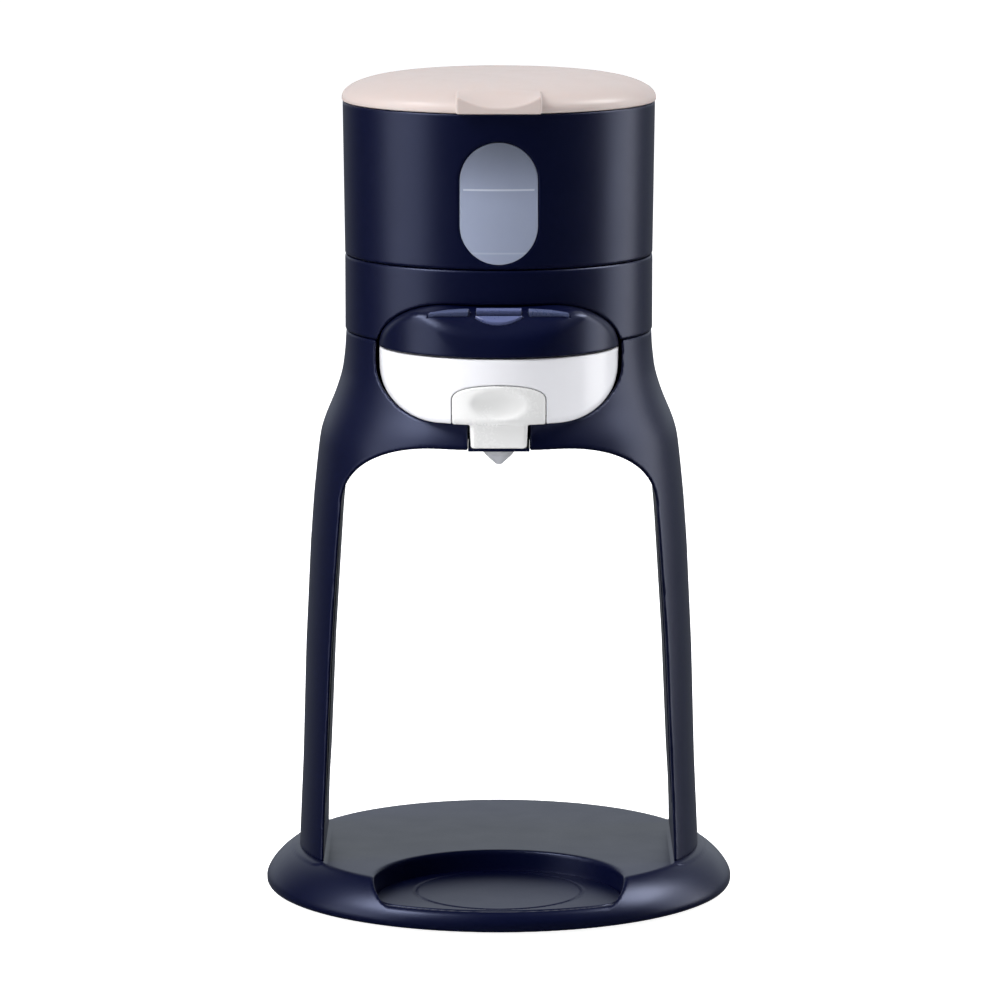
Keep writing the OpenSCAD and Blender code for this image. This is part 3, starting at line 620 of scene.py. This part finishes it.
def key_field(plan, top, edge, hand=0):
    """Key standing top above the panel; hand -1 or 1 keeps one side and slopes it outward."""
    def field(x, y, z):
        across, up, above = panel(x, y, z)
        solid = plan(across, up)
        height = top
        if hand:
            solid = np.maximum(solid, -hand * across)
            height = top - 0.9 * np.clip((np.abs(across) - 13.0) / 14.8, 0, 1) ** 1.3
        solid = meet(solid, above - height, edge)
        return np.maximum(solid, -2.0 - above)
    return field


# ---------------------------------------------------------------- drawer, grip and nozzle (mm)
NOZZLE_Y = -50
GRIP_BEND_Z = 211.3    # the grip is straight-sided below this
GRIP_HALF, GRIP_RISE = 18.4, 5.9


def drawer_outer(x, y, z, shrink=0):
    """Upright round front, lower corners following the mouth."""
    side = np.abs(x)
    half_x, half_z = 24.9 - shrink, 20.1 - shrink
    corner = ellipse(np.maximum(side - 24, 0), np.maximum(BEND_LOW_Z - z, 0),
                     half_x, half_z, half_x ** 2, half_z ** 2)
    prism = np.where(z < BEND_LOW_Z, corner, side - 48.9 + shrink)
    return meet(prism, dist(x, y - BOWL_Y) - 48.7 + shrink, 3.0 - shrink)


def drawer_hollow(x, y, z):
    """Round bowl inside."""
    radius = dist(x, y - BOWL_Y)
    flat_r, bend_r, bend_z = 24, 21.0, 16.5
    bend = ellipse(np.maximum(radius - flat_r, 0), np.maximum(BEND_LOW_Z - z, 0),
                   bend_r, bend_z, bend_r ** 2, bend_z ** 2)
    return np.where(z < BEND_LOW_Z, bend, radius - (flat_r + bend_r))


def grip_plan(x, z, grow=0.0):
    """Front view of the arched grip plate."""
    side = np.abs(x)
    half, rise = GRIP_HALF + grow, GRIP_RISE + grow
    arch = superellipse(side, np.maximum(z - GRIP_BEND_Z, 0), half, rise)
    return np.where(z > GRIP_BEND_Z, arch, side - half)


def notch_depth(z):
    """Depth of the grip's seat, easing from 1.8 at the top to 3.5 lower down."""
    part = np.clip((215.5 - z) / 4.0, 0, 1)
    return 1.8 + 1.7 * part * part * (3 - 2 * part)


def drawer_field(x, y, z):
    outer = drawer_outer(x, y, z)
    spout_r = dist(x, y - NOZZLE_Y)
    solid = meet(outer, z - 227.6, 0.8)
    solid = carve(solid, drawer_hollow(x, y, z), 0.8)
    notch = overlap(grip_plan(x, z, 0.3), y + 47.7, -(outer + notch_depth(z)))
    solid = carve(solid, notch, 0.25)
    stub = np.maximum(spout_r - 5.4, band(z, 198, 206))
    runners = overlap(np.abs(np.abs(x) - 17.3) - 1.7, np.abs(y - 7) - 5, band(z, 193.9, 204))
    solid = np.minimum(np.minimum(solid, stub), runners)
    return carve(solid, spout_r - 4)


def grip_field(x, y, z):
    spout_r = dist(x, y - NOZZLE_Y)
    # arch-shaped plate just proud of the drawer front
    plate = meet(drawer_outer(x, y, z, -0.15), grip_plan(x, z), 0.7)
    plate = carve(plate, drawer_outer(x, y, z) + notch_depth(z) - 0.1)
    plate = np.maximum(plate, y + 52)
    # block running back from it round the nozzle, widening upward
    half_width = 11.0 + 0.05 * (z - 192)
    block = meet(np.abs(x) - half_width, band(y, -73.3, -42.2), 1.8)
    top = np.where(y < -58.5, 203.2, 201.3)
    block = meet(block, np.maximum(191.9 - z, z - top), 1.1)
    solid = join(plate, block, 0.8)
    # thumb dish, an ellipsoid sunk into the plate
    dish = (np.sqrt((x / 16.8) ** 2 + ((y + 78.7) / 4.9) ** 2
                    + ((z - 209.7) / 6.5) ** 2) - 1) * 4.9
    solid = carve(solid, dish, 0.6)
    # stepped bore for stub and nozzle
    solid = carve(solid, np.where(z > 196, spout_r - 5.5, 1e3))
    return carve(solid, np.where(z < 193.1, spout_r - 8.1, spout_r - 4.2))


# closed section, radius and height: tip, cone, shoulder, collar, then back down the bore
NOZZLE_SECTION = [
    (0.35, 182.3), (1.0, 182.35), (1.5, 182.7), (5.2, 186.15), (5.5, 186.5), (5.55, 186.75),
    (5.9, 187.0), (6.1, 187.4), (6.5, 189.0), (6.5, 191.88), (7.6, 191.9), (8.0, 192.3),
    (8.0, 193.0), (4.0, 193.0), (4.0, 187.6), (0.8, 184.3), (0.35, 183.9)]
NOZZLE_SEGMENTS = 96


def nozzle():
    """The section turned about the upright nozzle axis."""
    turn = np.linspace(0, 2 * math.pi, NOZZLE_SEGMENTS, endpoint=False)[:, None]
    radius, height = np.array(NOZZLE_SECTION, float).T
    number = len(radius)
    points = np.stack([radius * np.cos(turn), NOZZLE_Y + radius * np.sin(turn),
                       np.broadcast_to(height, (NOZZLE_SEGMENTS, number))], 2).reshape(-1, 3)
    i = np.arange(NOZZLE_SEGMENTS)[:, None]
    j = np.arange(number)[None, :]
    this, after = i * number, (i + 1) % NOZZLE_SEGMENTS * number
    step = (j + 1) % number
    quads = np.stack([this + j, after + j, after + step, this + step], 2).reshape(-1, 4)
    mesh_piece("nozzle_tip", points, quads, "drawer", "nozzle", "silicone", None)


# ---------------------------------------------------------------- tank and lid (mm)
HINGE_Y, HINGE_Z = 66.5, 321
LID_R, LID_EDGE_Z, LID_RISE = 63.2, 324.2, 9.8
TAB_HALF = 16.7


def hinge_ears(x, y, z, centre, half, web_front, web_z, fillet, bore):
    """Pair of bored hinge barrels, each with a web toward the body."""
    pin = dist(y - HINGE_Y, z - HINGE_Z)
    width = np.abs(np.abs(x) - centre) - half
    barrel = meet(pin - 3.0, width, 0.4)
    web = overlap(width, band(y, web_front, HINGE_Y), band(z, *web_z))
    return carve(join(barrel, web, fillet), pin - bore)


def tank_field(x, y, z):
    """Slightly flaring tube with an upright slot window at the front."""
    radius = dist(x, y)
    wall_r = HEAD_R + 0.8 * (z - 261.3) / 61.3
    solid = meet(radius - wall_r, band(z, 261.35, 322.6), 0.6)
    solid = carve(solid, radius - wall_r + 2.2, 0.5)
    window = dist(x, np.maximum(np.abs(z - 287.4) - 8.7, 0)) - 15.5
    solid = carve(solid, np.maximum(window, y + 40), 0.7)
    ears = hinge_ears(x, y, z, centre=14.2, half=1.9, web_front=60.5, web_z=(318.0, 321.0),
                      fillet=0.4, bore=1.54)
    return join(solid, ears, 0.6)


def lid_top(radius, z):
    """Domed top with a large rolled edge, as a near-distance."""
    level = (np.maximum(radius, 0) / LID_R) ** 4.2
    rise = np.maximum(z - LID_EDGE_Z, 0) / LID_RISE
    slope_out = 4.2 * (np.maximum(radius, 1e-3) / LID_R) ** 3.2 / LID_R
    slope = dist(slope_out, 2.0 * rise / LID_RISE) + 1e-4
    return np.where(z > LID_EDGE_Z, (level + rise ** 2.0 - 1) / slope, radius - LID_R)


def lid_field(x, y, z):
    radius = dist(x, y)
    side = np.abs(x)
    solid = meet(lid_top(radius, z), 322.85 - z, 0.6)
    # hollow under the dome, solid at the tab
    at_tab = np.where((side < TAB_HALF) & (y < -54), 1e3, -1e3)
    solid = carve(solid, np.maximum(lid_top(radius + 2.4, z + 2.4), at_tab))
    # lifting tab: square block on the front edge
    tab_top = (z - 330.9 - (y + 54.5) * 0.125) * 0.99
    tab = meet(side - TAB_HALF, band(y, -65.5, -53.0), 0.6)
    tab = meet(tab, np.maximum(tab_top, 322.9 - z), 0.6)
    solid = join(solid, tab, 0.15)
    # dish in the tab: straight at the rear, a falling smile at the front
    dish_z = 331.0
    part = np.clip((-54.6 - y) / 11.0, -0.3, 1.2)
    front_z = 325.3 + 3.9 * np.minimum((side / 15.4) ** 2.2, 1.4)
    floor_z = dish_z + (front_z - dish_z) * np.where(part > 0, part, 0)
    dish = meet((floor_z - z) * 0.88, side - 15.7, 0.5)
    dish = meet(dish, y + 54.6, 0.25)
    solid = carve(solid, dish, 0.45)
    # skirt reaching down into the tank, grooved on its outer face
    skirt = meet(np.abs(radius - 55.9) - 1.3, band(z, 316.0, 330.0), 0.4)
    skirt = overlap(skirt, lid_top(radius, z) + 1.2, -dish + 1.0)
    skirt = carve(skirt, np.maximum(np.abs(z - 318.8) - 0.8, 56.2 - radius))
    solid = join(solid, skirt, 0.8)
    ears = hinge_ears(x, y, z, centre=10.0, half=2.0, web_front=58.0, web_z=(322.9, 324.6),
                      fillet=0.5, bore=1.56)
    return join(solid, ears, 0.5)


# ---------------------------------------------------------------- pieces
LEFT, RIGHT = -1, 1
start_key = key_field(start_plan, top=1.0, edge=0.4)
left_key = key_field(side_plan, top=2.0, edge=0.45, hand=LEFT)
right_key = key_field(side_plan, top=2.0, edge=0.45, hand=RIGHT)
display = key_field(window_plan, top=2.0, edge=0.4)

# name, field, low and high corner, cell size, body, CAD node, slot, finish if not the slot's
PIECES = [
    ("stand_shell", stand_field, (-84, -84, 17), (84, 84, 232), 0.85,
     "stand", "stand_frame", "navy"),
    ("head_shell", head_field, (-64, -64, 229), (64, 64, 262), 0.65,
     "stand", "head_housing", "navy"),
    ("hood_shell", hood_field, (-51, -79, 226), (51, -36, 250), 0.4,
     "stand", "control_hood", "navy"),
    ("base_shell", tray_field, (-97, -97, 0.5), (97, 97, 20), 0.9,
     "stand", "base_tray", "navy"),
    ("rest_plate", rest_field, (-51, -91, 7), (51, 0, 11), 0.5,
     "bottle_plate", "bottle_rest", "navy"),
    ("tank_casing", tank_field, (-64, -64, 260), (64, 71, 325), 0.7,
     "tank", "tank_shell", "navy"),
    ("lid_cover", lid_field, (-65, -67, 315), (65, 71, 336), 0.5, "lid", "lid", "blush"),
    ("drawer_bowl", drawer_field, (-49.5, -77, 193), (49.5, 22, 229), 0.5,
     "drawer", "drawer_body", "white"),
    ("grip_face", grip_field, (-20, -77, 191), (20, -40, 219), 0.3,
     "drawer", "spout_grip", "white", "white_warm"),
    ("key_start", start_key, (-11, -77, 234), (11, -62, 249), 0.2,
     "start_key", "start_button", "smoke"),
    # the side keys take the darker smoke, which is painted shade
    ("key_left", left_key, (-29, -71, 238), (-10, -58, 251), 0.2,
     "left_key", "left_button", "smoke", "smoke_dark"),
    ("key_right", right_key, (10, -71, 238), (29, -58, 251), 0.2,
     "right_key", "right_button", "smoke", "smoke_dark"),
    ("display_lens", display, (-10, -71, 238), (10, -58, 251), 0.2,
     "stand", "display_window", "smoke"),
]
for row in PIECES:
    piece(*row)
nozzle()

# ---------------------------------------------------------------- floor and world (m)
FLOOR_HALF, FLOOR_Z = 20, -0.0002


def make_floor():
    """Pale floor that glows for the camera alone."""
    corners = [(i * FLOOR_HALF, j * FLOOR_HALF, FLOOR_Z)
               for i, j in ((-1, -1), (1, -1), (1, 1), (-1, 1))]
    mesh = bpy.data.meshes.new("floor")
    mesh.from_pydata(corners, [], [(0, 1, 2, 3)])
    floor = place("floor", mesh)
    material = bpy.data.materials.new("floor_pale")
    material.use_nodes = True
    tree = material.node_tree
    camera_ray = add_node(tree, "LightPath").outputs["Is Camera Ray"]
    set_inputs(tree, tree.nodes["Principled BSDF"], {
        "Base Color": (0.82, 0.82, 0.82, 1), "Roughness": 0.6, "Specular IOR Level": 0.05,
        "Emission Color": (1, 1, 1, 1),
        "Emission Strength": calc(tree, "MULTIPLY", camera_ray, 0.95)})
    mesh.materials.append(material)
    floor.visible_glossy = False
    floor.visible_shadow = False


def make_world():
    """White to the camera; the part sees a dark front, pale backdrop and soft ceiling."""
    world = bpy.data.worlds.new("studio")
    bpy.context.scene.world = world
    tree = empty_tree(world)
    coords = add_node(tree, "TexCoord").outputs["Generated"]
    direction = add_node(tree, "SeparateXYZ", {0: coords}).outputs
    backdrop = ramp(tree, direction["Y"], start=0.55, end=0.97, low=0.0, high=0.62)
    ceiling = ramp(tree, direction["Z"], start=0.35, end=0.95, low=0.03, high=0.10)
    # the backdrop dims below the horizon
    horizon = ramp(tree, direction["Z"], start=-0.12, end=0.08, low=0.25, high=1.0)
    strength = calc(tree, "ADD", calc(tree, "MULTIPLY", backdrop, horizon), ceiling)
    studio = add_node(tree, "Background", {"Color": (0.86, 0.93, 1.0, 1), "Strength": strength})
    white = add_node(tree, "Background", {"Color": (1, 1, 1, 1), "Strength": 1.0})
    mix = add_node(tree, "MixShader", {
        "Fac": add_node(tree, "LightPath").outputs["Is Camera Ray"],
        1: studio.outputs[0], 2: white.outputs[0]})
    add_node(tree, "OutputWorld", {"Surface": mix.outputs[0]})


make_floor()
make_world()


# ---------------------------------------------------------------- lights and camera (m)
def aim(ob, target):
    ob.rotation_euler = (Vector(target) - ob.location).to_track_quat("-Z", "Y").to_euler()


def around(degrees, distance, z):
    """A place at this angle round the part, 0 toward the camera, positive right."""
    angle = math.radians(degrees)
    return (distance * math.sin(angle), -distance * math.cos(angle), z)


LIGHT_TARGET = (0, 0, 0.2)
# name, place, width, height, watts, seen in reflections
LIGHTS = [
    ("soft_left", around(-72, 1.7, 0.5), 1.15, 1.7, 12.5, True),
    ("soft_left_high", around(-68, 1.6, 1.75), 1.1, 0.8, 34, True),
    ("soft_right", around(103, 1.7, 0.5), 1.0, 1.7, 13, True),
    ("soft_right_high", around(100, 1.6, 1.75), 1.0, 0.8, 28, True),
    ("soft_top", (0, -0.25, 2.0), 1.5, 1.3, 11, False),
    ("front_fill", (-0.5, -3.0, 1.3), 0.8, 0.8, 14, False),
    ("fill_left", (-1.4, -1.8, 1.0), 0.8, 0.8, 12, False),
]
for name, location, width, height, watts, reflected in LIGHTS:
    light = bpy.data.lights.new(name, "AREA")
    light.shape = "RECTANGLE"
    light.size, light.size_y = width, height
    light.energy = watts
    ob = place(name, light)
    ob.location = location
    aim(ob, LIGHT_TARGET)
    ob.visible_glossy = reflected

lens = bpy.data.cameras.new("cam")
lens.lens = 209.5
lens.sensor_width = 36
lens.shift_x = 0.0012
camera = place("cam", lens)
camera.location = (0, -2.3345, 0.5349)
aim(camera, (0, 0, 0.1598))
scene = bpy.context.scene
scene.camera = camera
scene.view_settings.view_transform = "Standard"
scene.view_settings.look = "None"
